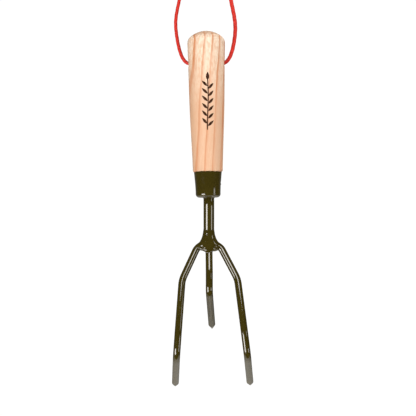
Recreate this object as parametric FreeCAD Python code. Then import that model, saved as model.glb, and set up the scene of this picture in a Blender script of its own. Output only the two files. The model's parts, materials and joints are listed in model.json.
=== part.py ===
import FreeCAD
import Part
import math
import os
from FreeCAD import Vector

# Three-tined hand cultivator, hanging upright by its red cord loop.
# Millimetres, +Z up, +X to the right. The tine tips point towards +Y.
# The origin is the crotch of the loop, straight under its knot, where a peg holds it.
# The tool is drawn about its own hinge, the line of cord through the handle, and is
# then lowered to its place and tilted so that its weight hangs under that hinge.

# ---------------------------------------------------------------- driving sizes
loop_drop = 143.5            # crotch of the loop down to the cord inside the handle
hang_tilt = -0.48            # degrees about X that bring the weight under the hinge

handle_top = 29.9            # top of the dome above the hinge
handle_length = 127.4        # top of the dome to the ferrule's rim
dome_radius = 22.4
shoulder_radius = 17.1
shoulder_round = 7.1
# (distance below the top of the dome, radius) down the turned handle
handle_waist = [(43.0, 16.3), (75.0, 15.55), (107.0, 14.15)]
handle_foot_radius = 13.5
handle_foot_bevel = 1.0

bore_radius = 2.8            # cross bore for the cord
bore_drop = 0.6              # bore axis below the cord, which carries its upper wall
bore_mouth_radius = 3.9      # where the flared mouth meets the handle's side
bore_mouth_rise = 1.2        # mouth above the bore's axis, worn upwards by the cord
bore_mouth_depth = 4.0

ferrule_length = 22.9
ferrule_wall = 1.2
# (distance below the rim, outside radius) down the drawn cup
ferrule_side = [(0.0, 12.55), (6.5, 11.95), (13.0, 11.45), (19.7, 11.2)]
ferrule_corner = 3.2
tenon_overlap = 1.0          # the tenon's outline carried up into the grip
pin_drop = 10.9              # nail below the ferrule's rim
pin_head_radius = 1.55
pin_head_rise = 0.75
pin_shank_radius = 0.8
pin_depth = 4.8
dimple_radius = 2.7
dimple_depth = 0.6
dimple_gap = 0.1             # round the nail's head
tool_clearance = 2.0         # how far cutting shapes stand past a surface

shank_radius = 4.85
shank_aside = 0.55           # the bar enters the ferrule a little to the right of its middle
tang_length = 62.0           # part of the shank above the ferrule's lower face
shank_bend_drop = 5.0        # straight part of the shank below the ferrule
shank_lean = 8.5             # degrees backwards below that
shank_bend_radius = 30.0
ferrule_weld_radius = 5.45
ferrule_weld_height = 0.8
ferrule_weld_edge = 0.1      # thickness of the fillet where it dies out on the shank

tine_radius = 3.2
tip_length = 5.5
side_nose_radius = 1.5
middle_nose_radius = 0.9
joint = (0.1, 5.0, -158.5)   # where the shank's lower end meets the tines
side_start = (1.5, 5.0, -159.7)
# corners of the right tine's centre line, from the joint down to its tip
elbow = (11.0, 5.3, -165.9)
outer_bend = (24.85, -0.3, -194.0)
side_knee = (29.2, -9.4, -239.7)
side_bend = (31.2, -10.6, -260.4)
side_tip = (34.8, 28.5, -293.3)
side_bend_radii = [9.0, 24.0, 60.0, 14.0]
fork_skew = 0.0143           # sideways slant of the outer pair, per unit of depth below the joint
# corners of the middle tine's centre line
middle_knee = (0.1, -1.3, -188.5)
middle_bend = (-0.15, -2.2, -204.8)
middle_tip = (2.1, 30.6, -241.2)
middle_bend_radii = [60.0, 11.5]

# weld lump round the joint: (height, half width, half depth) of its sections
weld_sections = [
    (-149.5, 4.9, 4.9),
    (-153.5, 5.6, 5.3),
    (-157.0, 6.6, 5.5),
    (-160.0, 9.0, 5.4),
    (-163.5, 11.0, 5.0),
    (-166.5, 8.6, 4.2),
]

cord_radius = 1.6
# (x, z) of the cord's route, from its left end in the knot, down through the
# handle and up to its right end; heights are above the hinge
cord_route = [
    (-1.75, 145.0), (-4.0, 130.5), (-10.3, 107.5), (-17.8, 82.5), (-24.3, 57.0),
    (-27.8, 40.0), (-26.6, 25.5), (-24.0, 12.0), (-20.6, 3.9), (-15.6, 0.3),
    (-9.0, -0.1), (-3.0, -0.3), (3.0, -0.3), (9.0, -0.1),
    (15.4, 0.3), (20.3, 4.0), (23.8, 12.5), (26.4, 26.0), (26.7, 38.5),
    (23.5, 55.5), (18.5, 80.5), (11.9, 106.0), (4.9, 129.5), (1.75, 145.0),
]
corner_share = 0.45          # of the shorter run beside a corner, taken up by its arc
knot_width = 12.9            # three wraps of the cord round both legs
knot_depth = 9.7
knot_height = 13.2
knot_round = 2.4
tail_length = 12.0
tail_lean = 15.0             # degrees that each tail leans outwards
tail_offset = 2.0
tail_root = 1.5              # depth of each tail's foot inside the knot

tolerance = 0.01


# ------------------------------------------------------------------- helpers
def unit(vector):
    return Vector(vector).normalize()


def rounded_path(points, radii):
    """A wire of straight runs joined by tangent arcs of the given radii."""
    edges = []
    last = points[0]
    for before, corner, after, radius in zip(points, points[1:], points[2:], radii):
        inward = unit(corner - before)
        outward = unit(after - corner)
        turn = inward.getAngle(outward)
        reach = radius * math.tan(turn / 2)
        start = corner - inward * reach
        end = corner + outward * reach
        to_centre = unit(outward - inward)
        centre = corner + to_centre * (radius / math.cos(turn / 2))
        middle = centre - to_centre * radius
        edges.append(Part.LineSegment(last, start).toShape())
        edges.append(Part.Arc(start, middle, end).toShape())
        last = end
    edges.append(Part.LineSegment(last, points[-1]).toShape())
    return Part.Wire(edges)


def round_bar(path, radius):
    """A round section swept along a path, as one closed solid."""
    first = path.Edges[0]
    start = first.valueAt(first.FirstParameter)
    direction = first.tangentAt(first.FirstParameter)
    section = Part.Wire([Part.makeCircle(radius, start, direction)])
    return path.makePipeShell([section], True, False)


def revolved(edges):
    """A closed outline in the XZ plane turned about the Z axis."""
    face = Part.Face(Part.Wire(edges))
    return face.revolve(Vector(0, 0, 0), Vector(0, 0, 1), 360)


def line(first, second):
    return Part.LineSegment(Vector(first[0], 0, first[1]), Vector(second[0], 0, second[1])).toShape()


def curve(points):
    spline = Part.BSplineCurve()
    spline.interpolate([Vector(radius, 0, height) for radius, height in points])
    return spline.toShape()


def hang(shape):
    """Take a shape from the tool's own frame to its place under the loop."""
    placed = shape.copy()
    placed.rotate(Vector(0, 0, 0), Vector(1, 0, 0), hang_tilt)
    placed.translate(Vector(0, 0, -loop_drop))
    return placed


# ---------------------------------------------------------------- the wood
rim_height = handle_top - handle_length
ferrule_bottom = rim_height - ferrule_length


def ferrule_form(inset, top):
    """The solid inside the ferrule's outline, moved inwards by inset."""
    side = [(radius - inset, rim_height - drop) for drop, radius in ferrule_side]
    side[0] = (side[0][0], top)
    corner = ferrule_corner - inset
    foot = ferrule_bottom + inset
    foot_radius = side[-1][0]
    side[-1] = (foot_radius, foot + corner)
    cut_in = corner * (1 - math.sqrt(0.5))
    middle = Vector(foot_radius - cut_in, 0, foot + cut_in)
    arc = Part.Arc(Vector(foot_radius, 0, foot + corner), middle, Vector(foot_radius - corner, 0, foot))
    return revolved([
        line((0, top), side[0]),
        curve(side),
        arc.toShape(),
        line((foot_radius - corner, foot), (0, foot)),
        line((0, foot), (0, top)),
    ])


def handle_body():
    """Domed, waisted ash grip above the ferrule's rim."""
    dome_drop = dome_radius - math.sqrt(dome_radius ** 2 - shoulder_radius ** 2)
    shoulder = (shoulder_radius, handle_top - dome_drop)
    crown_angle = math.asin(shoulder_radius / dome_radius) / 2
    crown_middle = Vector(
        dome_radius * math.sin(crown_angle), 0, handle_top - dome_radius * (1 - math.cos(crown_angle)))
    crown = Part.Arc(Vector(0, 0, handle_top), crown_middle, Vector(shoulder[0], 0, shoulder[1]))
    foot = (handle_foot_radius, rim_height + handle_foot_bevel)
    side = [shoulder] + [(radius, handle_top - drop) for drop, radius in handle_waist] + [foot]
    bevel = (handle_foot_radius - handle_foot_bevel, rim_height)
    grip = revolved([
        crown.toShape(),
        curve(side),
        line(foot, bevel),
        line(bevel, (0, rim_height)),
        line((0, rim_height), (0, handle_top)),
    ])
    rim = [edge for edge in grip.Edges
           if abs(edge.BoundBox.ZMax - shoulder[1]) < tolerance and edge.BoundBox.ZLength < tolerance]
    return grip.makeFillet(shoulder_round, rim)


def bore_cutter():
    """Cross bore whose two mouths flare out, more upwards than down, to the handle's side."""
    side_radius = handle_waist[0][1]
    axis_height = -bore_drop
    cutter = Part.makeCylinder(
        bore_radius, 4 * side_radius, Vector(-2 * side_radius, 0, axis_height), Vector(1, 0, 0))
    for side in (-1, 1):
        rings = []
        for step in (0, 2):
            outward = side_radius + (step - 1) * bore_mouth_depth
            centre = Vector(side * outward, 0, axis_height + step * bore_mouth_rise)
            radius = bore_radius + step * (bore_mouth_radius - bore_radius)
            rings.append(Part.Wire([Part.makeCircle(radius, centre, Vector(1, 0, 0))]))
        cutter = cutter.fuse(Part.makeLoft(rings, True, True))
    return cutter


def make_handle(shank, pin):
    tenon = ferrule_form(ferrule_wall, rim_height + tenon_overlap)
    wood = handle_body().fuse(tenon).cut(bore_cutter())
    return wood.cut(shank).cut(pin).removeSplitter()


# ---------------------------------------------------------------- the ferrule
def pin_frame():
    """Where the nail's axis meets the ferrule's outer surface, on the +X side."""
    (upper_drop, upper_radius), (lower_drop, lower_radius) = ferrule_side[1], ferrule_side[2]
    share = (pin_drop - upper_drop) / (lower_drop - upper_drop)
    radius = upper_radius + share * (lower_radius - upper_radius)
    return Vector(radius, 0, rim_height - pin_drop)


def make_pin():
    """Domed nail, its head sitting in the punched dimple."""
    seat = pin_frame() - Vector(dimple_depth, 0, 0)
    nail = Part.makeCylinder(pin_shank_radius, pin_depth, seat - Vector(pin_depth, 0, 0), Vector(1, 0, 0))
    ball_radius = (pin_head_radius ** 2 + pin_head_rise ** 2) / (2 * pin_head_rise)
    ball = Part.makeSphere(ball_radius, seat + Vector(pin_head_rise - ball_radius, 0, 0))
    keep = Part.makeCylinder(pin_head_radius + tolerance, tool_clearance, seat, Vector(1, 0, 0))
    return nail.fuse(ball.common(keep)).removeSplitter()


def make_ferrule(shank, pin):
    shell = ferrule_form(0.0, rim_height).cut(ferrule_form(ferrule_wall, rim_height + tenon_overlap))
    seat = pin_frame() - Vector(dimple_depth, 0, 0)
    dimple = Part.makeCone(
        pin_head_radius + dimple_gap, dimple_radius, dimple_depth, seat, Vector(1, 0, 0))
    beyond = Part.makeCylinder(dimple_radius, tool_clearance, pin_frame(), Vector(1, 0, 0))
    return shell.cut(dimple).cut(beyond).cut(shank).cut(pin)


# ---------------------------------------------------------------- the steel bars
def make_shank():
    """Round bar: tang inside the wood, then a slight lean backwards to the joint."""
    top = Vector(shank_aside, 0, ferrule_bottom + tang_length)
    knee = Vector(shank_aside, 0, ferrule_bottom - shank_bend_drop)
    return round_bar(rounded_path([top, knee, Vector(*joint)], [shank_bend_radius]), shank_radius)


def tine_bar(points, radii, nose_radius):
    """Round bar along a bent centre line, drawn down to a short blunt point."""
    direction = unit(points[-1] - points[-2])
    neck = points[-1] - direction * tip_length
    bar = round_bar(rounded_path(points[:-1] + [neck], radii), tine_radius)
    cone = Part.makeCone(tine_radius, nose_radius, tip_length - nose_radius, neck, direction)
    nose = Part.makeSphere(nose_radius, points[-1] - direction * nose_radius)
    return bar.fuse(cone).fuse(nose).removeSplitter()


def make_middle_tine():
    corners = [Vector(*corner) for corner in (joint, middle_knee, middle_bend, middle_tip)]
    return tine_bar(corners, middle_bend_radii, middle_nose_radius)


def make_side_tine(side, others):
    """One outer tine: out from the joint, down, and forward to its tip."""
    corners = []
    for x, y, z in (side_start, elbow, outer_bend, side_knee, side_bend, side_tip):
        slant = fork_skew * (joint[2] - z)
        corners.append(Vector(side * x + slant, y, z))
    bar = tine_bar(corners, side_bend_radii, side_nose_radius)
    for other in others:
        bar = bar.cut(other)
    return max(bar.Solids, key=lambda solid: solid.Volume)


# ---------------------------------------------------------------- the welds
def make_tine_weld(bars):
    """Smooth lump of weld metal that swells from the shank out to the side tines."""
    wires = []
    for height, half_width, half_depth in weld_sections:
        back = joint[1] + (height - joint[2]) * math.tan(math.radians(-shank_lean))
        circle = Part.makeCircle(1.0, Vector(0, 0, 0), Vector(0, 0, 1))
        stretch = FreeCAD.Matrix()
        stretch.scale(Vector(half_width, half_depth, 1.0))
        section = Part.Wire([circle]).transformGeometry(stretch)
        section.translate(Vector(joint[0], back, height))
        wires.append(section)
    lump = Part.makeLoft(wires, True, False)
    for bar in bars:
        lump = lump.cut(bar)
    return max(lump.Solids, key=lambda solid: solid.Volume)


def make_ferrule_weld(shank):
    """Small fillet of weld where the shank leaves the ferrule."""
    ring = Part.makeCone(
        ferrule_weld_radius, shank_radius + ferrule_weld_edge, ferrule_weld_height,
        Vector(shank_aside, 0, ferrule_bottom), Vector(0, 0, -1))
    return ring.cut(shank)


# ---------------------------------------------------------------- the cord
def corner_radii(points):
    """At each corner, a radius whose arc takes up most of the shorter run beside it."""
    radii = []
    for before, corner, after in zip(points, points[1:], points[2:]):
        turn = (corner - before).getAngle(after - corner)
        shorter = min((corner - before).Length, (after - corner).Length)
        radii.append(corner_share * shorter / math.tan(turn / 2))
    return radii


def make_hanging_cord():
    points = [Vector(x, 0, z - loop_drop) for x, z in cord_route]
    radii = corner_radii(points)
    path = rounded_path(points, radii)
    tube = round_bar(path, cord_radius)
    print("cord length %.1f mm" % path.Length)
    print("cord volume over section times length %.4f"
          % (tube.Volume / (math.pi * cord_radius ** 2 * path.Length)))
    print("cord bend radii in diameters", [round(radius / (2 * cord_radius), 1) for radius in radii])
    return tube


def make_cord_knot():
    """Outer shape of the barrel knot: an oval drum with rounded ends."""
    drum = Part.makeCylinder(0.5, 1.0)
    stretch = FreeCAD.Matrix()
    stretch.scale(Vector(knot_width, knot_depth, knot_height))
    drum = drum.transformGeometry(stretch)
    ends = [edge for edge in drum.Edges if edge.BoundBox.ZLength < tolerance]
    return drum.makeFillet(knot_round, ends)


def make_cord_tails():
    """The two short ends that stand out above the knot."""
    tails = []
    for side in (-1, 1):
        lean = math.radians(tail_lean)
        direction = Vector(side * math.sin(lean), 0, math.cos(lean))
        foot = Vector(side * tail_offset, 0, knot_height - tail_root)
        tails.append(Part.makeCylinder(cord_radius, tail_length, foot, direction))
    return Part.makeCompound(tails)


# ---------------------------------------------------------------- assembly
def build():
    shank = make_shank()
    pin = make_pin()
    middle_tine = make_middle_tine()
    middle_tine = middle_tine.cut(shank)
    left_tine = make_side_tine(-1, [middle_tine, shank])
    right_tine = make_side_tine(1, [middle_tine, shank])
    bars = [shank, middle_tine, left_tine, right_tine]
    tool = {
        "handle": make_handle(shank, pin),
        "ferrule": make_ferrule(shank, pin),
        "ferrule_pin": pin,
        "shank": shank,
        "ferrule_weld": make_ferrule_weld(shank),
        "left_tine": left_tine,
        "right_tine": right_tine,
        "middle_tine": middle_tine,
        "tine_weld": make_tine_weld(bars),
    }
    nodes = {name: hang(shape) for name, shape in tool.items()}
    nodes["hanging_cord"] = make_hanging_cord()
    nodes["cord_knot"] = make_cord_knot()
    nodes["cord_tails"] = make_cord_tails()
    return nodes


def report(nodes):
    """Print each node's size and the offset of the tool's weight from its hinge."""
    density = {"handle": 0.68e-3}
    weight = 0.0
    moment = Vector(0, 0, 0)
    for name, shape in nodes.items():
        box = shape.BoundBox
        print("%-14s solids %d valid %s  volume %8.1f  box %6.1f %6.1f %6.1f" % (
            name, len(shape.Solids), shape.isValid(), shape.Volume,
            box.XLength, box.YLength, box.ZLength))
        if "cord" in name:
            continue
        mass = shape.Volume * density.get(name, 7.85e-3)
        centre = sum((solid.CenterOfMass * solid.Volume for solid in shape.Solids), Vector(0, 0, 0))
        moment += centre * (mass / shape.Volume)
        weight += mass
    centre = moment * (1 / weight)
    print("tool mass %.1f g, centre x %.2f y %.2f z %.1f" % (weight, centre.x, centre.y, centre.z))


os.makedirs("parts", exist_ok=True)
assembly = build()
for node, solid in assembly.items():
    solid.exportStep("parts/%s.step" % node)
report(assembly)
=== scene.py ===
import json
import math

import bmesh
import bpy
import numpy as np
from mathutils import Matrix, Vector
from mathutils.bvhtree import BVHTree


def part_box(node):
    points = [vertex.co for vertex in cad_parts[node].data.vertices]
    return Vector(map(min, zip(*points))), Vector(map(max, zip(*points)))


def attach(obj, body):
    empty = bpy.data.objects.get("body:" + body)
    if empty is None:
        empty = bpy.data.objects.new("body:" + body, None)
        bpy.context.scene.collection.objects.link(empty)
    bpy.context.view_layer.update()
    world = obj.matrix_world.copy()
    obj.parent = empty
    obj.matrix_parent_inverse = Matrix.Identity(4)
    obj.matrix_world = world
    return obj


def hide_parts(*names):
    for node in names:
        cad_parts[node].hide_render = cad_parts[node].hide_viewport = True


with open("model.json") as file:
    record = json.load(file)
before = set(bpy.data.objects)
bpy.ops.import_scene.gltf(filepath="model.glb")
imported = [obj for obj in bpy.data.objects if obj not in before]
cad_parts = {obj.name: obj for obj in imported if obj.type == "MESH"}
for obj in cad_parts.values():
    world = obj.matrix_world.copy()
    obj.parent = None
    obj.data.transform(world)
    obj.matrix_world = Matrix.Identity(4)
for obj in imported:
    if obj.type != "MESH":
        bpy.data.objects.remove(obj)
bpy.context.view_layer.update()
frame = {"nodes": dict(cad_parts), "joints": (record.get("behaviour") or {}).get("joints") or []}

nodes = frame["nodes"]
hinge = Vector(frame["joints"][0]["pos_m"])
MM = 0.001


# ---------------------------------------------------------------- camera
CAMERA_DISTANCE = 0.70
CAMERA_AZIMUTH = 0.0          # degrees towards +X
CAMERA_ELEVATION = -1.35
CAMERA_ROLL = -0.76
FRAME_WIDTH = 0.3744          # metres across the picture at the handle
CAMERA_DROP = 0.1298          # the picture's middle below the hinge
CAMERA_ASIDE = -0.0003


def make_camera():
    data = bpy.data.cameras.new("camera")
    data.sensor_width = 36.0
    data.lens = data.sensor_width * CAMERA_DISTANCE / FRAME_WIDTH
    camera = bpy.data.objects.new("camera", data)
    bpy.context.scene.collection.objects.link(camera)
    azimuth = math.radians(CAMERA_AZIMUTH)
    elevation = math.radians(CAMERA_ELEVATION)
    back = Vector((
        math.sin(azimuth) * math.cos(elevation),
        -math.cos(azimuth) * math.cos(elevation),
        math.sin(elevation)))
    target = hinge + Vector((CAMERA_ASIDE, 0, -CAMERA_DROP))
    turn = (-back).to_track_quat("-Z", "Y").to_matrix().to_4x4()
    roll = Matrix.Rotation(math.radians(CAMERA_ROLL), 4, "Z")
    camera.matrix_world = Matrix.Translation(target + back * CAMERA_DISTANCE) @ turn @ roll
    bpy.context.scene.camera = camera


make_camera()


# ---------------------------------------------------------------- mesh helpers
def new_object(name, mesh):
    obj = bpy.data.objects.new(name, mesh)
    bpy.context.scene.collection.objects.link(obj)
    return obj


def shade_smooth(mesh):
    for polygon in mesh.polygons:
        polygon.use_smooth = True


def spline_points(route, spacing):
    """Even points along the smooth curve that has the route as its control points."""
    curve = bpy.data.curves.new("route", "CURVE")
    curve.dimensions = "3D"
    curve.resolution_u = 24
    spline = curve.splines.new("NURBS")
    spline.points.add(len(route) - 1)
    for point, place in zip(spline.points, route):
        point.co = (*place, 1.0)
    spline.order_u = 3
    spline.use_endpoint_u = True
    carrier = new_object("route", curve)
    mesh = bpy.data.meshes.new_from_object(carrier)
    line = np.array([vertex.co[:] for vertex in mesh.vertices])
    bpy.data.objects.remove(carrier)
    bpy.data.meshes.remove(mesh)
    bpy.data.curves.remove(curve)
    steps = np.linalg.norm(np.diff(line, axis=0), axis=1)
    reach = np.concatenate([[0.0], np.cumsum(steps)])
    count = max(2, int(round(reach[-1] / spacing)) + 1)
    even = np.linspace(0.0, reach[-1], count)
    return np.stack([np.interp(even, reach, line[:, k]) for k in range(3)], axis=1)


def turning_frames(points):
    """Two unit vectors across the line at each point, carried along without twist."""
    tangents = np.gradient(points, axis=0)
    tangents /= np.linalg.norm(tangents, axis=1)[:, None]
    start = np.array([0.0, 1.0, 0.0])
    side = start - tangents[0] * start.dot(tangents[0])
    sides = []
    for tangent in tangents:
        side = side - tangent * side.dot(tangent)
        side /= np.linalg.norm(side)
        sides.append(side.copy())
    sides = np.array(sides)
    return sides, np.cross(tangents, sides)


# ---------------------------------------------------------------- the cord
CORD_RADIUS = 1.6 * MM
CROWN = 1.07                  # how far the strands' crowns stand out, in cord radii
FLATNESS = 0.08               # the cord is a little wider one way than the other
FLAT_START = 100 * MM         # where along the cord its wide side faces the front
FLAT_TURN = 133 * MM          # length in which the wide side turns through a quarter
STRANDS = 3
STRAND_SET = 0.16             # how far a strand's centre lies out, in cord radii
LAY_LENGTH = 19 * MM          # one turn of the twist
END_ROUNDING = 0.9            # length of a rounded end, in cord radii
RING_VERTICES = 30
POINT_SPACING = 0.5 * MM      # between rings along the loop
TAIL_SPACING = 0.4 * MM

# (x, z) of the cord from its left end in the knot, through the handle, to its right
# end; heights are above the hinge
CORD_ROUTE = [
    (-0.00175, 0.1450), (-0.0040, 0.1305), (-0.0103, 0.1075), (-0.0178, 0.0825), (-0.0243, 0.0570),
    (-0.0278, 0.0400), (-0.0266, 0.0255), (-0.0240, 0.0120), (-0.0206, 0.0039), (-0.0156, 0.0003),
    (-0.0090, -0.0001), (-0.0030, -0.0003), (0.0030, -0.0003), (0.0090, -0.0001),
    (0.0154, 0.0003), (0.0203, 0.0040), (0.0238, 0.0125), (0.0264, 0.0260), (0.0267, 0.0385),
    (0.0235, 0.0555), (0.0185, 0.0805), (0.0119, 0.1060), (0.0049, 0.1295), (0.00175, 0.1450),
]


def strand_outline(angle):
    """Radius, in cord radii, of the outline of the laid strands at an angle."""
    share = 2 * math.pi / STRANDS
    off = (angle + share / 2) % share - share / 2
    size = 1 - STRAND_SET
    return STRAND_SET * np.cos(off) + np.sqrt(size ** 2 - (STRAND_SET * np.sin(off)) ** 2)


def cord_mesh(name, points, start_turn=0.0, ends=(1.0, 1.0)):
    """A laid cord along a line. ends gives how full each end is, 1 for cut off square."""
    sides, others = turning_frames(points)
    steps = np.linalg.norm(np.diff(points, axis=0), axis=1)
    reach = np.concatenate([[0.0], np.cumsum(steps)])
    angles = np.linspace(0, 2 * math.pi, RING_VERTICES, endpoint=False)
    mesh = bpy.data.meshes.new(name)
    verts = []
    wrap = []
    for index, point in enumerate(points):
        twist = start_turn + 2 * math.pi * reach[index] / LAY_LENGTH
        lie = math.pi / 2 * (reach[index] - FLAT_START) / FLAT_TURN
        radius = CORD_RADIUS * CROWN * strand_outline(angles - twist)
        radius = radius * (1 + FLATNESS * np.cos(2 * (angles - lie)))
        for end, full in zip((reach[index], reach[-1] - reach[index]), ends):
            if full < 1.0:
                near = min(1.0, end / (CORD_RADIUS * END_ROUNDING))
                radius = radius * (full + (1 - full) * math.sqrt(1 - (1 - near) ** 2))
        ring = (point + np.outer(np.cos(angles) * radius, sides[index])
                + np.outer(np.sin(angles) * radius, others[index]))
        verts.extend(ring.tolist())
        wrap.append((reach[index], twist))
    faces = []
    for row in range(len(points) - 1):
        for column in range(RING_VERTICES):
            after = (column + 1) % RING_VERTICES
            first = row * RING_VERTICES
            second = first + RING_VERTICES
            faces.append((first + column, first + after, second + after, second + column))
    last = (len(points) - 1) * RING_VERTICES
    faces.append(tuple(reversed(range(RING_VERTICES))))
    faces.append(tuple(last + column for column in range(RING_VERTICES)))
    mesh.from_pydata(verts, [], faces)
    uv = mesh.uv_layers.new(name="lay")
    for polygon in mesh.polygons:
        closes_ring = polygon.loop_total == 4 and polygon.index % RING_VERTICES == RING_VERTICES - 1
        for loop in polygon.loop_indices:
            row, column = divmod(mesh.loops[loop].vertex_index, RING_VERTICES)
            around = 2 * math.pi if closes_ring and column == 0 else angles[column]
            along, twist = wrap[row]
            uv.data[loop].uv = (along / LAY_LENGTH, (around - twist) / (2 * math.pi))
    mesh.validate()
    shade_smooth(mesh)
    return mesh


def make_cord():
    route = [hinge + Vector((x, 0, z)) for x, z in CORD_ROUTE]
    points = spline_points(route, POINT_SPACING)
    cord = new_object("hanging_cord_loop", cord_mesh("hanging_cord_loop", points))
    return cord, points


KNOT_TURNS = 3.35
KNOT_START = -120             # degrees round from the right, where the wraps begin
KNOT_STEPS = 150
KNOT_TUCK = 0.07              # share of the wraps over which each end dives inwards
KNOT_TUCKED = 0.45            # how far out an end still lies, as a share of the knot
KNOT_BOXINESS = 0.85          # under 1, the wraps are squarer than an ellipse
KNOT_SLANT = 0.35 * MM
KNOT_TWIST = 0.6              # radians by which the strands are turned at its start
TUCKED_ENDS = (0.3, 0.3)


def knot_wraps():
    """Three wraps of the cord round both legs, with its two ends tucked under."""
    low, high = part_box("cord_knot")
    centre = (low + high) / 2
    half_width = (high.x - low.x) / 2 - CORD_RADIUS
    half_depth = (high.y - low.y) / 2 - CORD_RADIUS
    foot = low.z + CORD_RADIUS
    climb = high.z - low.z - 2 * CORD_RADIUS
    line = []
    for step in range(KNOT_STEPS + 1):
        along = step / KNOT_STEPS
        angle = 2 * math.pi * KNOT_TURNS * along + math.radians(KNOT_START)
        tuck = min(1.0, along / KNOT_TUCK, (1 - along) / KNOT_TUCK)
        outward = KNOT_TUCKED + (1 - KNOT_TUCKED) * math.sin(tuck * math.pi / 2)
        aside = math.copysign(abs(math.cos(angle)) ** KNOT_BOXINESS, math.cos(angle))
        line.append((
            centre.x + half_width * outward * aside,
            centre.y + half_depth * outward * math.sin(angle),
            foot + climb * along + KNOT_SLANT * math.cos(angle)))
    points = np.array(line)
    knot = new_object("cord_knot_wraps", cord_mesh("cord_knot_wraps", points, KNOT_TWIST, TUCKED_ENDS))
    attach(knot, "loop")
    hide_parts("cord_knot")
    return knot


TAIL_END_ASIDE = 1.55 * MM    # the end's middle, in from the side of the tails' box
TAIL_END_DROP = 0.45 * MM     # and down from its top
# (distance aside, share of the knot's height) where a tail climbs inside the knot
TAIL_CLIMB = [(1.65 * MM, 0.45), (2.0 * MM, 0.9)]
TAIL_FOOT = (1.75 * MM, 1.0 * MM)
SEALED_END = (1.0, 0.35)


def tail(side):
    """A short end of the cord: up out of the knot, leaning out, sealed by heat."""
    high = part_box("cord_tails")[1]
    knot_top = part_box("cord_knot")[1].z
    route = [Vector((side * TAIL_FOOT[0], 0, TAIL_FOOT[1]))]
    route += [Vector((side * aside, 0, share * knot_top)) for aside, share in TAIL_CLIMB]
    route.append(Vector((side * (high.x - TAIL_END_ASIDE), 0, high.z - TAIL_END_DROP)))
    points = spline_points(route, TAIL_SPACING)
    return cord_mesh("tail", points, 1.0 + side, SEALED_END)


def make_tails():
    mesh = bmesh.new()
    for side in (-1, 1):
        mesh.from_mesh(tail(side))
    joined = bpy.data.meshes.new("cord_tail_ends")
    mesh.to_mesh(joined)
    mesh.free()
    tails = new_object("cord_tail_ends", joined)
    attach(tails, "loop")
    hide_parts("cord_tails")
    return tails


cord, cord_line = make_cord()
knot = knot_wraps()
tails = make_tails()
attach(cord, "loop")
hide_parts("hanging_cord")


# ---------------------------------------------------------------- node helpers
class Tree:
    """A short way to build a material's or the world's nodes."""

    def __init__(self, owner):
        owner.use_nodes = True
        self.nodes = owner.node_tree.nodes
        self.links = owner.node_tree.links
        self.nodes.clear()

    def add(self, kind, inputs=None, **settings):
        node = self.nodes.new(kind)
        for name, value in settings.items():
            setattr(node, name, value)
        for name, value in (inputs or {}).items():
            self.put(node.inputs[name], value)
        return node

    def put(self, socket, value):
        if isinstance(value, bpy.types.NodeSocket):
            self.links.new(value, socket)
        else:
            socket.default_value = value

    def math(self, operation, *values):
        node = self.add("ShaderNodeMath", operation=operation)
        for socket, value in zip(node.inputs, values):
            self.put(socket, value)
        return node.outputs[0]

    def ramp(self, factor, *stops):
        """A colour ramp; each stop is (position, colour)."""
        node = self.add("ShaderNodeValToRGB", {"Fac": factor})
        elements = node.color_ramp.elements
        while len(elements) < len(stops):
            elements.new(0.5)
        for element, (position, colour) in zip(elements, stops):
            element.position = position
            element.color = (*colour, 1.0)
        return node.outputs["Color"]

    def fade(self, factor, start, end, low=0.0, high=1.0):
        node = self.add("ShaderNodeMapRange", {
            "Value": factor, "From Min": start, "From Max": end, "To Min": low, "To Max": high})
        node.clamp = True
        return node.outputs["Result"]

    def noise(self, vector, scale, detail=3.0, roughness=0.5):
        node = self.add("ShaderNodeTexNoise", {
            "Vector": vector, "Scale": scale, "Detail": detail, "Roughness": roughness})
        return node.outputs["Fac"]

    def stretched(self, vector, x, y, z):
        return self.add("ShaderNodeMapping", {"Vector": vector, "Scale": (x, y, z)}).outputs[0]

    def mix(self, factor, first, second, blend="MIX"):
        node = self.add("ShaderNodeMix", data_type="RGBA", blend_type=blend)
        self.put(node.inputs[0], factor)
        self.put(node.inputs[6], first)
        self.put(node.inputs[7], second)
        return node.outputs[2]

    def bump(self, height, strength, distance, normal=None):
        node = self.add("ShaderNodeBump", {
            "Height": height, "Strength": strength, "Distance": distance})
        if normal is not None:
            self.put(node.inputs["Normal"], normal)
        return node.outputs[0]


def colour(red, green, blue):
    return (red, green, blue, 1.0)


# ---------------------------------------------------------------- materials
RING_SPACING = 7.2 * MM       # between growth rings across the handle
RING_SLANT = 0.062            # sideways run of the grain for each unit of height
RING_START = 0.34             # share of a ring by which the pattern is shifted


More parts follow.
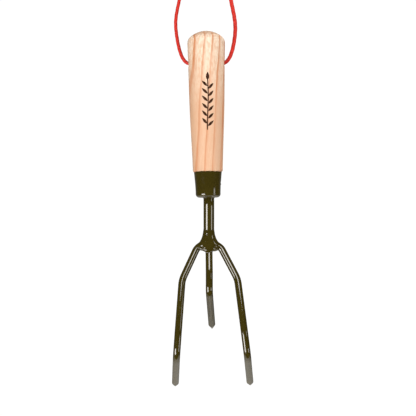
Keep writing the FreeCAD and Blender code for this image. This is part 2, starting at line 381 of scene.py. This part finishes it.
def ash_wood():
    """Pale ash: orange-brown early wood in fine pored lines, with painted shade on the dome and painted
    light towards the top.
    """
    material = bpy.data.materials.new("ash_wood")
    tree = Tree(material)
    place = tree.add("ShaderNodeTexCoord").outputs["Object"]

    # growth rings: steep lines of early wood that fade into the late wood
    drift = tree.noise(tree.stretched(place, 1, 1, 0.22), 42.0, 2.0)
    waver = tree.noise(tree.stretched(place, 1, 1, 0.35), 260.0, 2.0)
    parts = tree.add("ShaderNodeSeparateXYZ", {"Vector": place})
    across = tree.math("MULTIPLY_ADD", parts.outputs["Y"], 0.22, parts.outputs["X"])
    across = tree.math("MULTIPLY_ADD", parts.outputs["Z"], -RING_SLANT, across)
    rings = tree.math("DIVIDE", across, RING_SPACING)
    rings = tree.math("MULTIPLY_ADD", drift, 0.9, rings)
    rings = tree.math("MULTIPLY_ADD", waver, 0.10, rings)
    rings = tree.math("FRACT", tree.math("ADD", rings, RING_START))
    early = tree.ramp(
        rings, (0.0, (0.05,) * 3), (0.03, (1.0,) * 3), (0.16, (1.0,) * 3),
        (0.24, (0.36,) * 3), (0.50, (0.05,) * 3), (1.0, (0.0,) * 3))
    fade = tree.noise(tree.stretched(place, 1, 1, 0.12), 150.0, 2.0)
    early = tree.math("MULTIPLY", early, tree.fade(fade, 0.30, 0.62, 0.45, 1.0))

    # structure within the rings, drawn out along the handle
    pores = tree.noise(tree.stretched(place, 1, 1, 0.05), 1500.0, 2.0, 0.6)
    open_pores = tree.fade(pores, 0.52, 0.68)
    fibres = tree.noise(tree.stretched(place, 1, 1, 0.055), 1350.0, 3.0, 0.65)
    flecks = tree.noise(tree.stretched(place, 1, 1, 0.32), 700.0, 3.0)
    cloud = tree.noise(tree.stretched(place, 1, 1, 0.3), 55.0, 2.0)

    honey = colour(0.330, 0.212, 0.140)
    tan = colour(0.314, 0.194, 0.124)
    painted_top_light = colour(0.420, 0.366, 0.300)
    fleck_brown = colour(0.320, 0.188, 0.115)
    early_brown = colour(0.275, 0.108, 0.044)
    pore_brown = colour(0.215, 0.100, 0.048)
    fibre_brown = colour(0.290, 0.182, 0.114)
    dome_shade = colour(0.300, 0.160, 0.090)
    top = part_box("handle")[1].z
    late_wood = tree.mix(tree.fade(cloud, 0.3, 0.7), honey, tan)
    # painted light: the late wood turns paler towards the top of the handle, where more light falls on
    # it
    height = tree.fade(parts.outputs["Z"], top - 75 * MM, top - 12 * MM, 0.0, 0.85)
    late_wood = tree.mix(height, late_wood, painted_top_light)
    late_wood = tree.mix(tree.fade(flecks, 0.44, 0.60, 0.0, 0.60), late_wood, fleck_brown)
    wood = tree.mix(early, late_wood, early_brown)
    pore_share = tree.math("MULTIPLY", open_pores, tree.math("MULTIPLY_ADD", early, 0.45, 0.10))
    wood = tree.mix(pore_share, wood, pore_brown)
    wood = tree.mix(tree.fade(fibres, 0.40, 0.68, 0.0, 0.40), wood, fibre_brown)
    # painted shade: the dome turns darker, as its upturned face gets less light
    dome = tree.fade(parts.outputs["Z"], top - 6.2 * MM, top - 4.4 * MM, 0.0, 0.42)
    wood = tree.mix(dome, wood, dome_shade)

    relief = tree.math("MULTIPLY_ADD", fibres, 0.5, tree.math("MULTIPLY", open_pores, -0.6))
    normal = tree.bump(relief, 0.35, 0.08 * MM)
    roughness = tree.fade(early, 0.0, 1.0, 0.46, 0.60)
    shader = tree.add("ShaderNodeBsdfPrincipled", {
        "Base Color": wood, "Roughness": roughness, "Normal": normal,
        "Specular IOR Level": 0.35, "Coat Weight": 0.06, "Coat Roughness": 0.35})
    tree.add("ShaderNodeOutputMaterial", {"Surface": shader.outputs[0]})
    return material


def olive_paint():
    """Glossy dark olive paint with a faint orange peel and slow waves."""
    material = bpy.data.materials.new("olive_paint")
    tree = Tree(material)
    place = tree.add("ShaderNodeTexCoord").outputs["Object"]
    tone = tree.noise(place, 90.0, 2.0)
    dark = colour(0.0165, 0.0125, 0.0014)
    light = colour(0.0190, 0.0145, 0.0018)
    paint = tree.mix(tree.fade(tone, 0.35, 0.65), dark, light)
    dust = tree.noise(place, 2200.0, 2.0)
    dusty = colour(0.08, 0.07, 0.04)
    paint = tree.mix(tree.fade(dust, 0.70, 0.80, 0.0, 0.02), paint, dusty)
    waves = tree.noise(place, 130.0, 1.0)
    peel = tree.noise(place, 700.0, 2.0)
    normal = tree.bump(waves, 1.0, 0.012 * MM)
    normal = tree.bump(peel, 1.0, 0.0004 * MM, normal)
    roughness = tree.fade(tree.noise(place, 240.0, 3.0), 0.3, 0.7, 0.04, 0.08)
    shader = tree.add("ShaderNodeBsdfPrincipled", {
        "Base Color": paint, "Roughness": roughness, "Normal": normal, "IOR": 1.5})
    tree.add("ShaderNodeOutputMaterial", {"Surface": shader.outputs[0]})
    return material


def red_cord():
    """Red cord of laid strands: fine yarns that follow the twist, nearly matt, with painted light on the
    yarns' crowns and painted shade between them.
    """
    material = bpy.data.materials.new("red_cord")
    tree = Tree(material)
    lay = tree.add("ShaderNodeUVMap", uv_map="lay").outputs[0]
    yarns = tree.noise(tree.stretched(lay, 3.0, 60.0, 1), 1.0, 2.0, 0.6)
    tufts = tree.noise(tree.stretched(lay, 26.0, 90.0, 1), 1.0, 2.0, 0.6)
    tone = tree.noise(tree.stretched(lay, 1.1, 7.0, 1), 1.0, 2.0)
    dark = colour(0.235, 0.0045, 0.0018)
    light = colour(0.290, 0.0085, 0.0036)
    red = tree.mix(tree.fade(tone, 0.35, 0.65), dark, light)
    # painted light on the raised yarns and painted shade in the gaps between them, following the bump's
    # high and low places
    yarn_crown_light = colour(0.330, 0.022, 0.011)
    yarn_gap_shade = colour(0.150, 0.0025, 0.0012)
    red = tree.mix(tree.fade(yarns, 0.45, 0.75, 0.0, 0.6), red, yarn_crown_light)
    red = tree.mix(tree.fade(tufts, 0.30, 0.46, 0.55, 0.0), red, yarn_gap_shade)
    height = tree.math("MULTIPLY_ADD", yarns, 0.7, tree.math("MULTIPLY", tufts, 0.5))
    normal = tree.bump(height, 0.7, 0.18 * MM)
    shader = tree.add("ShaderNodeBsdfPrincipled", {
        "Base Color": red, "Roughness": 0.52, "Normal": normal, "Specular IOR Level": 0.16,
        "Sheen Weight": 0.03, "Sheen Roughness": 0.4, "Sheen Tint": colour(1.0, 0.55, 0.45)})
    tree.add("ShaderNodeOutputMaterial", {"Surface": shader.outputs[0]})
    return material


def scorched_wood():
    """Dark brown burnt line of the mark, uneven in depth."""
    material = bpy.data.materials.new("scorched_wood")
    tree = Tree(material)
    place = tree.add("ShaderNodeTexCoord").outputs["Object"]
    char = tree.noise(tree.stretched(place, 1, 1, 0.3), 900.0, 3.0)
    charred = colour(0.010, 0.004, 0.002)
    browned = colour(0.032, 0.012, 0.006)
    burnt = tree.mix(tree.fade(char, 0.35, 0.68), charred, browned)
    normal = tree.bump(char, 0.5, 0.05 * MM)
    shader = tree.add("ShaderNodeBsdfPrincipled", {
        "Base Color": burnt, "Roughness": 0.85, "Normal": normal, "Specular IOR Level": 0.10})
    tree.add("ShaderNodeOutputMaterial", {"Surface": shader.outputs[0]})
    return material


ASH = ash_wood()
PAINT = olive_paint()
CORD = red_cord()
SCORCH = scorched_wood()


def paint_over(obj, material):
    obj.data.materials.clear()
    obj.data.materials.append(material)


for piece in (cord, knot, tails):
    paint_over(piece, CORD)
for name in ("ferrule", "ferrule_pin", "shank", "left_tine", "right_tine", "middle_tine"):
    paint_over(nodes[name], PAINT)
paint_over(nodes["handle"], ASH)


# ---------------------------------------------------------------- the painted weld
# Weld metal fills the angles between the bars. In front of them it hangs as an apron with
# a flat face, a web edges the apron on the left and a bead sits at its right. Everything
# here is in millimetres from the hinge before the tool's small tilt, as (x, y, z).
HANG_TILT = math.radians(-0.48)
FORK_SKEW = 0.0143            # sideways slant of the outer pair below the joint
SHANK_RADIUS = 4.85
TINE_RADIUS = 3.2
ELBOW_RADIUS = 9.0
SHANK_KNEE = (0.55, 0.0, -125.4)
JOINT = (0.1, 5.0, -158.5)
SIDE_START = (1.5, 5.0, -159.7)
ELBOW = (11.0, 5.3, -165.9)
OUTER_BEND = (24.85, -0.3, -194.0)
MIDDLE_KNEE = (0.1, -1.3, -188.5)
LEAN = (SHANK_KNEE[1] - JOINT[1]) / (SHANK_KNEE[2] - JOINT[2])    # run of the shank along Y for its rise

WELD_HEART = (0.1, 5.0, -160.5)
WELD_REACH = 15.0             # from the heart to the ends of the weld's skin
WELD_FADE = 5.0               # length over which the skin dies into the bars
WELD_PROUD = 0.03             # skin over the bars
WELD_TUCK = 0.15              # depth of the skin's edge under the bars
WELD_VOXEL = 0.34             # spacing of the skin's points
WELD_ROUNDS = 5               # of moving the skin onto the surface
WELD_STRIDE = 0.6             # the most that a point moves in one round
# how far the metal flows
FILLET = 4.5                  # from the shank to the outer tines
APRON_FLOW = 1.3              # from the bars to the apron
MIDDLE_FLOW = 1.2             # round the middle tine and the web
BEAD_FLOW = 0.9
APRON_FRONT = -0.65           # the flat face hangs plumb from the shank's front
APRON_FOOT = -168.5
APRON_LEAST = 2.0             # least half depth
APRON_ROUND = 2.0             # how softly the face turns under at its foot
# (height, half width) of the apron
APRON = [
    (-169.0, 6.8), (-167.0, 8.2), (-165.0, 8.9), (-162.5, 8.7), (-160.0, 7.8), (-157.0, 6.5),
    (-155.0, 5.85), (-153.0, 5.3), (-150.0, 4.7), (-146.0, 4.2),
]
APRON_BLANK = ((0.1, 5.5, -160.0), (7.5, 6.0, 7.5))    # middle and half sizes of its blank
BEAD = ((5.6, 2.2, -167.2), (3.0, 2.2, 1.7))           # middle and half sizes
WEB = [(-8.2, 1.2, -165.9), (-2.4, 0.5, -168.6)]
WEB_RADIUS = 1.0


def in_world(place):
    """From the tool's own millimetre frame to where the tool hangs."""
    x, y, z = place
    cosine, sine = math.cos(HANG_TILT), math.sin(HANG_TILT)
    return hinge + Vector((x, y * cosine - z * sine, y * sine + z * cosine)) * MM


def side_line(side):
    """Centre line of an outer tine from the joint past its elbow."""
    start, elbow, bend = (
        Vector((side * x, y, z)) for x, y, z in (SIDE_START, ELBOW, OUTER_BEND))
    inward = (elbow - start).normalized()
    outward = (bend - elbow).normalized()
    turn = inward.angle(outward)
    reach = ELBOW_RADIUS * math.tan(turn / 2)
    to_centre = (outward - inward).normalized()
    centre = elbow + to_centre * (ELBOW_RADIUS / math.cos(turn / 2))
    spoke = elbow - inward * reach - centre
    axis = inward.cross(outward)
    line = [start]
    steps = 10
    for step in range(steps + 1):
        line.append(centre + Matrix.Rotation(turn * step / steps, 3, axis) @ spoke)
    line.append(bend)
    return [point + Vector((FORK_SKEW * (JOINT[2] - point.z), 0, 0)) for point in line]


def bar_distance(points, line, radius):
    """How far points lie outside a round bar along a line of corners."""
    nearest = np.full(len(points), np.inf)
    for start, end in zip(line, line[1:]):
        start, end = np.array(start), np.array(end)
        along = end - start
        share = np.clip((points - start) @ along / (along @ along), 0, 1)
        gap = np.linalg.norm(points - start - share[:, None] * along, axis=1)
        nearest = np.minimum(nearest, gap)
    return nearest - radius


def oval_distance(offset, half_sizes):
    """Roughly how far points lie outside an ellipse or ellipsoid about their origin."""
    scaled = np.linalg.norm(offset / half_sizes, axis=1)
    steep = np.linalg.norm(offset / half_sizes ** 2, axis=1)
    return scaled * (scaled - 1) / np.maximum(steep, 1e-6)


def flow(first, second, reach):
    """The nearer of two surfaces, with a fillet where they meet."""
    near = np.maximum(reach - np.abs(first - second), 0) / reach
    return np.minimum(first, second) - near ** 2 * reach / 4


def apron_distance(points):
    """How far points lie outside the oval apron, which is cut off with a soft edge at its foot."""
    x, y, z = points.T
    heights, widths = np.array(APRON).T
    half_width = np.interp(z, heights, widths)
    middle = JOINT[1] + (z - JOINT[2]) * LEAN
    half_depth = np.maximum(middle - APRON_FRONT, APRON_LEAST)
    offset = np.stack([x - JOINT[0], y - middle], axis=1)
    half_sizes = np.stack([half_width, half_depth], axis=1)
    return -flow(-oval_distance(offset, half_sizes), z - APRON_FOOT, APRON_ROUND)


def weld_distance(points):
    """How far points lie outside the welded, painted joint."""
    shank = bar_distance(points, [SHANK_KNEE, JOINT], SHANK_RADIUS)
    left = bar_distance(points, side_line(-1), TINE_RADIUS)
    right = bar_distance(points, side_line(1), TINE_RADIUS)
    middle = bar_distance(points, [JOINT, MIDDLE_KNEE], TINE_RADIUS)
    bare = np.minimum(np.minimum(shank, middle), np.minimum(left, right))
    solid = flow(shank, np.minimum(left, right), FILLET)
    solid = flow(solid, apron_distance(points), APRON_FLOW)
    solid = flow(solid, bar_distance(points, WEB, WEB_RADIUS), MIDDLE_FLOW)
    solid = flow(solid, middle, MIDDLE_FLOW)
    bead_middle, bead_sizes = np.array(BEAD)
    solid = flow(solid, oval_distance(points - bead_middle, bead_sizes), BEAD_FLOW)
    away = np.linalg.norm(points - np.array(WELD_HEART), axis=1)
    fade = np.clip((away - (WELD_REACH - WELD_FADE)) / WELD_FADE, 0, 1)
    fade = fade * fade * (3 - 2 * fade)
    return (solid - WELD_PROUD) * (1 - fade) + (bare + WELD_TUCK) * fade


def weld_slope(points):
    """Which way the distance grows, and how fast, at each point."""
    step = 0.02
    slopes = []
    for axis in np.eye(3) * step:
        slopes.append((weld_distance(points + axis) - weld_distance(points - axis)) / (2 * step))
    return np.stack(slopes, axis=1)


def weld_blank():
    """Coarse skin of the bars' ends, fused and cut off round the joint."""
    lines = [
        ([SHANK_KNEE, JOINT], SHANK_RADIUS), (side_line(-1), TINE_RADIUS),
        (side_line(1), TINE_RADIUS), ([JOINT, MIDDLE_KNEE], TINE_RADIUS), (WEB, WEB_RADIUS)]
    work = bmesh.new()
    for line, radius in lines:
        for start, end in zip(line, line[1:]):
            start, end = Vector(start), Vector(end)
            turn = (end - start).to_track_quat("Z", "Y").to_matrix().to_4x4()
            bmesh.ops.create_cone(
                work, cap_ends=True, segments=24, radius1=radius, radius2=radius,
                depth=(end - start).length, matrix=Matrix.Translation((start + end) / 2) @ turn)
            bmesh.ops.create_icosphere(
                work, subdivisions=3, radius=radius, matrix=Matrix.Translation(end))
    for middle, half_sizes in (BEAD, APRON_BLANK):
        bmesh.ops.create_icosphere(
            work, subdivisions=3, radius=1.0,
            matrix=Matrix.Translation(middle) @ Matrix.Diagonal((*half_sizes, 1.0)))
    mesh = bpy.data.meshes.new("blank")
    work.to_mesh(mesh)
    work.free()
    blank = new_object("tine_weld_skin", mesh)
    remesh = blank.modifiers.new("remesh", "REMESH")
    remesh.mode = "VOXEL"
    remesh.voxel_size = WELD_VOXEL
    depsgraph = bpy.context.evaluated_depsgraph_get()
    shaped = bpy.data.meshes.new_from_object(blank.evaluated_get(depsgraph))
    blank.modifiers.clear()
    blank.data = shaped
    work = bmesh.new()
    work.from_mesh(shaped)
    heart = Vector(WELD_HEART)
    outside = [vertex for vertex in work.verts if (vertex.co - heart).length > WELD_REACH]
    bmesh.ops.delete(work, geom=outside, context="VERTS")
    work.to_mesh(shaped)
    work.free()
    return blank


def make_tine_weld():
    """One skin of paint that flows over the shank's foot and the tops of the tines."""
    weld = weld_blank()
    mesh = weld.data
    work = bmesh.new()
    work.from_mesh(mesh)
    inner = [vertex for vertex in work.verts if not vertex.is_boundary]
    for turn in range(WELD_ROUNDS):
        points = np.array([vertex.co[:] for vertex in work.verts])
        slopes = weld_slope(points)
        steep = np.maximum((slopes ** 2).sum(axis=1), 0.1)
        moves = -slopes * (weld_distance(points) / steep)[:, None]
        lengths = np.linalg.norm(moves, axis=1)
        moves *= np.minimum(1.0, WELD_STRIDE / np.maximum(lengths, 1e-9))[:, None]
        for vertex, move in zip(work.verts, moves):
            vertex.co += Vector(move)
        if turn < WELD_ROUNDS - 1:
            bmesh.ops.smooth_vert(
                work, verts=inner, factor=0.5, use_axis_x=True, use_axis_y=True, use_axis_z=True)
    bmesh.ops.holes_fill(work, edges=[edge for edge in work.edges if edge.is_boundary], sides=0)
    bmesh.ops.recalc_face_normals(work, faces=work.faces)
    for vertex in work.verts:
        vertex.co = in_world(vertex.co)
    work.to_mesh(mesh)
    work.free()
    mesh.name = "tine_weld_skin"
    shade_smooth(mesh)
    paint_over(weld, PAINT)
    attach(weld, "tool")
    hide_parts("tine_weld")


make_tine_weld()
paint_over(nodes["ferrule_weld"], PAINT)


# ---------------------------------------------------------------- the burnt mark
MARK_TOP = 41 * MM            # below the top of the handle
MARK_LENGTH = 50 * MM
MARK_LINE = 0.5 * MM          # half the stem's width
MARK_ASIDE = 0.7 * MM
MARK_CAST = 100 * MM          # in front of the hinge, where the flat mark is cast from
MARK_LIFT = 0.035 * MM        # over the wood
MARK_MESH = 0.6 * MM          # edges over this are halved, so that the mark follows the wood
MARK_HALVINGS = 3             # at most
STEM_TOP = 3 * MM
STEM_SWAY = 0.5 * MM
STEM_WAVE = 5.0               # radians of the sway down the stem
BUD = ((0, 6 * MM), (0.3 * MM, -1.5 * MM), 1.5 * MM)    # foot, tip, half width
LEAF_PAIRS = 6
LEAF_START = 11.5 * MM        # the first leaf below the mark's top
LEAF_STEP = 6.6 * MM
LEAF_STAGGER = 2.2 * MM       # a right leaf below its left one
LEAF_FOOT = 0.5 * MM          # out from the stem's middle
LEAF_REACH = 5.2 * MM         # out from the mark's middle and up
LEAF_WIDTH = 1.15 * MM        # half the leaf's width


def leaf_outline(foot, tip, width):
    """A pointed leaf from foot to tip in the plane of the mark."""
    foot = Vector(foot)
    along = Vector(tip) - foot
    across = Vector((-along.y, along.x)).normalized()
    half = 12
    shares = [step / half for step in range(half + 1)]
    bulge = [width * math.sin(math.pi * share ** 0.8) for share in shares]
    right = [foot + along * share + across * size for share, size in zip(shares, bulge)]
    left = [foot + along * share - across * size for share, size in zip(shares, bulge)]
    return right + left[-2:0:-1]


def stem_middle(down):
    """How far aside the swaying stem lies at a distance below the mark's top."""
    return STEM_SWAY * math.sin((down - STEM_TOP) / (MARK_LENGTH - STEM_TOP) * STEM_WAVE)


def sprig_shapes():
    """Closed outlines of a plain leafy sprig, (across, down) from the mark's top."""
    steps = 24
    downs = [STEM_TOP + step / steps * (MARK_LENGTH - STEM_TOP) for step in range(steps + 1)]
    sides = [[(stem_middle(down) + side * MARK_LINE, down) for down in downs] for side in (1, -1)]
    shapes = [sides[0] + sides[1][::-1]]
    shapes.append(leaf_outline(*BUD))
    for pair in range(LEAF_PAIRS):
        down = LEAF_START + pair * LEAF_STEP
        for side in (-1, 1):
            foot = (stem_middle(down) + side * LEAF_FOOT, down + (side > 0) * LEAF_STAGGER)
            tip = (side * LEAF_REACH, foot[1] - LEAF_REACH)
            shapes.append(leaf_outline(foot, tip, LEAF_WIDTH))
    return shapes


def make_mark():
    """The sprig as a thin skin that lies on the wood."""
    wood = BVHTree.FromObject(nodes["handle"], bpy.context.evaluated_depsgraph_get())
    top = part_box("handle")[1].z - MARK_TOP
    work = bmesh.new()
    for outline in sprig_shapes():
        flat = [work.verts.new((x, down, 0.0)) for x, down in outline]
        work.faces.new(flat)
    bmesh.ops.triangulate(work, faces=work.faces)
    for _ in range(MARK_HALVINGS):
        long_edges = [edge for edge in work.edges if edge.calc_length() > MARK_MESH]
        if long_edges:
            bmesh.ops.subdivide_edges(work, edges=long_edges, cuts=1)
            bmesh.ops.triangulate(work, faces=work.faces)
    for vertex in work.verts:
        across, down, _ = vertex.co
        start = Vector((across + MARK_ASIDE, -MARK_CAST, top - down))
        place, normal, _, _ = wood.ray_cast(start, Vector((0, 1, 0)))
        vertex.co = place + normal * MARK_LIFT
    bmesh.ops.recalc_face_normals(work, faces=work.faces)
    mesh = bpy.data.meshes.new("burnt_sprig")
    work.to_mesh(mesh)
    work.free()
    shade_smooth(mesh)
    mark = new_object("burnt_sprig", mesh)
    paint_over(mark, SCORCH)
    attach(mark, "tool")


make_mark()


# ---------------------------------------------------------------- stage and light
FLOOR_DROP = 1.8              # the peg's height above the floor
FLOOR_SIZE = 5.0
FLOOR_BACK = 2.0              # the floor's middle behind the peg
FLOOR_SEEN = 0.9              # the floor's own glow, as the camera sees it
FLOOR_GLOW = 0.4              # and as the tool reflects it
ROOM_GLOW = 0.03              # the surround on the camera's side
BACK_GLOW = 0.26              # and behind the tool
BACKDROP = 1.05               # the surround, as the camera sees it
LIGHT_DISTANCE = 1.6
LIGHT_RISE = 0.02             # the lights' aim above the picture's middle
WARM = (1.0, 0.97, 0.93)
# (name, azimuth to the right, elevation, width, height, radiance), angles in degrees
MIRRORED_LIGHTS = [           # seen in the paint
    ("left_softbox", -48, -21, 30, 28, 18.0),
    ("right_softbox", 62, -17, 18, 16, 8.0),
    ("upper_right_softbox", 60, 2, 14, 6, 5.0),
    ("top_softbox", 5, 24, 40, 16, 14.0),
]
FILL_LIGHTS = [               # left out of the paint's reflections
    ("left_low_fill", -48, -42, 30, 13, 18.0),
    ("right_low_fill", 62, -40, 18, 29, 8.0),
    ("right_fill", 78, 20, 60, 60, 2.9),
    ("dome_fill", 0, 60, 60, 50, 4.0),
    ("back_fill", 180, 10, 60, 60, 3.0),
]


def make_floor():
    """Plain pale floor that glows a little, warm where the paint reflects it."""
    material = bpy.data.materials.new("floor")
    tree = Tree(material)
    seen = tree.add("ShaderNodeLightPath").outputs["Is Camera Ray"]
    shader = tree.add("ShaderNodeBsdfPrincipled", {
        "Base Color": colour(0.85, 0.85, 0.85), "Roughness": 0.8,
        "Emission Color": tree.mix(seen, colour(1.0, 0.95, 0.84), colour(1.0, 1.0, 1.0)),
        "Emission Strength": tree.math("MULTIPLY_ADD", seen, FLOOR_SEEN - FLOOR_GLOW, FLOOR_GLOW)})
    tree.add("ShaderNodeOutputMaterial", {"Surface": shader.outputs[0]})
    work = bmesh.new()
    bmesh.ops.create_grid(work, x_segments=1, y_segments=1, size=FLOOR_SIZE / 2)
    mesh = bpy.data.meshes.new("floor")
    work.to_mesh(mesh)
    work.free()
    floor = new_object("floor", mesh)
    floor.location = (0, FLOOR_BACK, -FLOOR_DROP)
    floor.data.materials.append(material)


def softbox(name, azimuth, elevation, width, height, radiance, mirrored=True):
    """An area light that faces the tool; its width and height are angles in degrees."""
    data = bpy.data.lights.new(name, "AREA")
    data.shape = "RECTANGLE"
    data.size = 2 * LIGHT_DISTANCE * math.tan(math.radians(width / 2))
    data.size_y = 2 * LIGHT_DISTANCE * math.tan(math.radians(height / 2))
    data.energy = radiance * math.pi * data.size * data.size_y
    data.color = WARM
    light = bpy.data.objects.new(name, data)
    bpy.context.scene.collection.objects.link(light)
    a = math.radians(azimuth)
    e = math.radians(elevation)
    out = Vector((math.sin(a) * math.cos(e), -math.cos(a) * math.cos(e), math.sin(e)))
    middle = hinge + Vector((0, 0, LIGHT_RISE - CAMERA_DROP))
    light.location = middle + out * LIGHT_DISTANCE
    light.rotation_mode = "QUATERNION"
    light.rotation_quaternion = (-out).to_track_quat("-Z", "Y")
    light.visible_camera = False
    light.visible_glossy = mirrored


def make_world():
    """A bright surround behind the tool and a dim room on the camera's side."""
    world = bpy.data.worlds.new("studio")
    bpy.context.scene.world = world
    tree = Tree(world)
    direction = tree.add("ShaderNodeTexCoord").outputs["Generated"]
    parts = tree.add("ShaderNodeSeparateXYZ", {"Vector": direction})
    glow = tree.fade(parts.outputs["Y"], 0.30, 0.90, ROOM_GLOW, BACK_GLOW)
    around = tree.add("ShaderNodeBackground", {"Color": colour(1.0, 0.985, 0.97), "Strength": glow})
    seen = tree.add("ShaderNodeBackground", {"Color": colour(1.0, 1.0, 1.0), "Strength": BACKDROP})
    to_camera = tree.add("ShaderNodeLightPath").outputs["Is Camera Ray"]
    both = tree.add("ShaderNodeMixShader", {"Fac": to_camera})
    tree.links.new(around.outputs[0], both.inputs[1])
    tree.links.new(seen.outputs[0], both.inputs[2])
    tree.add("ShaderNodeOutputWorld", {"Surface": both.outputs[0]})


bpy.context.scene.view_settings.view_transform = "Standard"
make_floor()
make_world()
for name, *shape in MIRRORED_LIGHTS:
    softbox(name, *shape)
for name, *shape in FILL_LIGHTS:
    softbox(name, *shape, mirrored=False)
